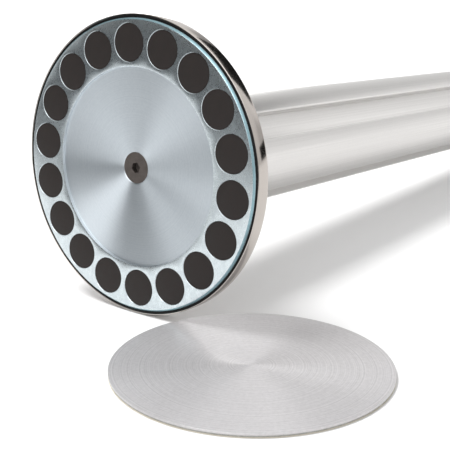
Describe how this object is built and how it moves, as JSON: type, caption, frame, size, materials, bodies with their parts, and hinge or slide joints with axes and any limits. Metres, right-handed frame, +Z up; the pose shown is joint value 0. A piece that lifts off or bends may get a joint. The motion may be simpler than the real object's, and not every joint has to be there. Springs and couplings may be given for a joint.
{
  "type": "magnetic base barrier post",
  "caption": "Round slotted post lying on its side, with a ring of magnets in its flat round base, a belt head, and a loose thin steel floor plate beside it.",
  "frame": {"origin": "middle of the floor plate's underside, on the floor", "axes": "+Z up from the floor, +X level along the lying post from its base to its head, +Y from the floor plate towards the post"},
  "size_m": [1.0796, 0.2325, 0.1537],
  "materials": {
    "zinc_plated_steel": "bright zinc plate with a pale blue cast",
    "ferrite": "ground ferrite, dark brown-black and dull",
    "black_rubber": "dull black rubber",
    "polished_steel": "mirror polished",
    "black_oxide_steel": "black oxide",
    "bright_steel": "machined",
    "cast_aluminium": "as cast",
    "anodised_aluminium": "satin anodised",
    "black_plastic": "fine moulded texture",
    "white_plastic": "moulded",
    "belt_webbing": "woven polyester",
    "clip_plastic": "moulded",
    "grey_felt": "pressed felt",
    "spring_steel": "blued strip",
    "liner_paper": "waxed paper",
    "foam_adhesive": "closed foam",
    "brushed_steel": "brushed in rings about its middle"
  },
  "bodies": {
    "post": {"magnet_carrier": "zinc_plated_steel", "edge_seal": "black_rubber", "base_cover": "polished_steel", "base_screw": "black_oxide_steel", "locating_pins": "bright_steel", "tube_socket": "cast_aluminium", "post_tube": "anodised_aluminium", "tie_rod": "bright_steel", "tie_nut": "bright_steel", "head_base": "black_plastic", "housing_screws": "black_oxide_steel", "head_housing": "black_plastic", "belt_outlet": "black_plastic", "receiver_left": "black_plastic", "receiver_back": "black_plastic", "receiver_right": "black_plastic", "top_cap": "black_plastic", "cap_screws": "black_oxide_steel", "spindle": "bright_steel", "felt_washer": "grey_felt", "spring_cup": "bright_steel", "return_spring": "spring_steel", "belt_strap": "belt_webbing", "magnet_01": "ferrite", "magnet_02": "ferrite", "magnet_03": "ferrite", "magnet_04": "ferrite", "magnet_05": "ferrite", "magnet_06": "ferrite", "magnet_07": "ferrite", "magnet_08": "ferrite", "magnet_09": "ferrite", "magnet_10": "ferrite", "magnet_11": "ferrite", "magnet_12": "ferrite", "magnet_13": "ferrite", "magnet_14": "ferrite", "magnet_15": "ferrite", "magnet_16": "ferrite", "magnet_17": "ferrite", "magnet_18": "ferrite"},
    "spool": {"belt_spool": "white_plastic", "belt_roll": "belt_webbing"},
    "belt_end": {"belt_clip": "clip_plastic", "clip_pin": "bright_steel"},
    "floor_plate": {"plate_disc": "brushed_steel", "adhesive_pad": "foam_adhesive"},
    "liner": {"release_liner": "liner_paper"}
  },
  "joints": [
    {"name": "belt_pull", "type": "slide", "parent": "post", "child": "belt_end", "axis": [0.0443, 0, 0.999], "range_m": [0, 2], "stiffness_N_per_m": 2.5, "springref_m": -1.5, "deforming": ["belt_strap"]},
    {"name": "spool_turn", "type": "hinge", "parent": "post", "child": "spool", "pos_m": [0.96422, 0.09074, 0.03537], "axis": [0.999, 0, -0.0443], "range_deg": [-7100, 0]},
    {"name": "plate_slide", "type": "slide", "parent": "post", "child": "floor_plate", "axis": [0, -1, 0], "range_m": [0, 0.25]},
    {"name": "liner_peel", "type": "slide", "parent": "floor_plate", "child": "liner", "axis": [-1, 0, 0], "range_m": [0, 0.14]}
  ],
  "couplings": [
    {"joint": "spool_turn", "follows": "belt_pull", "rad_per_m": -61}
  ]
}
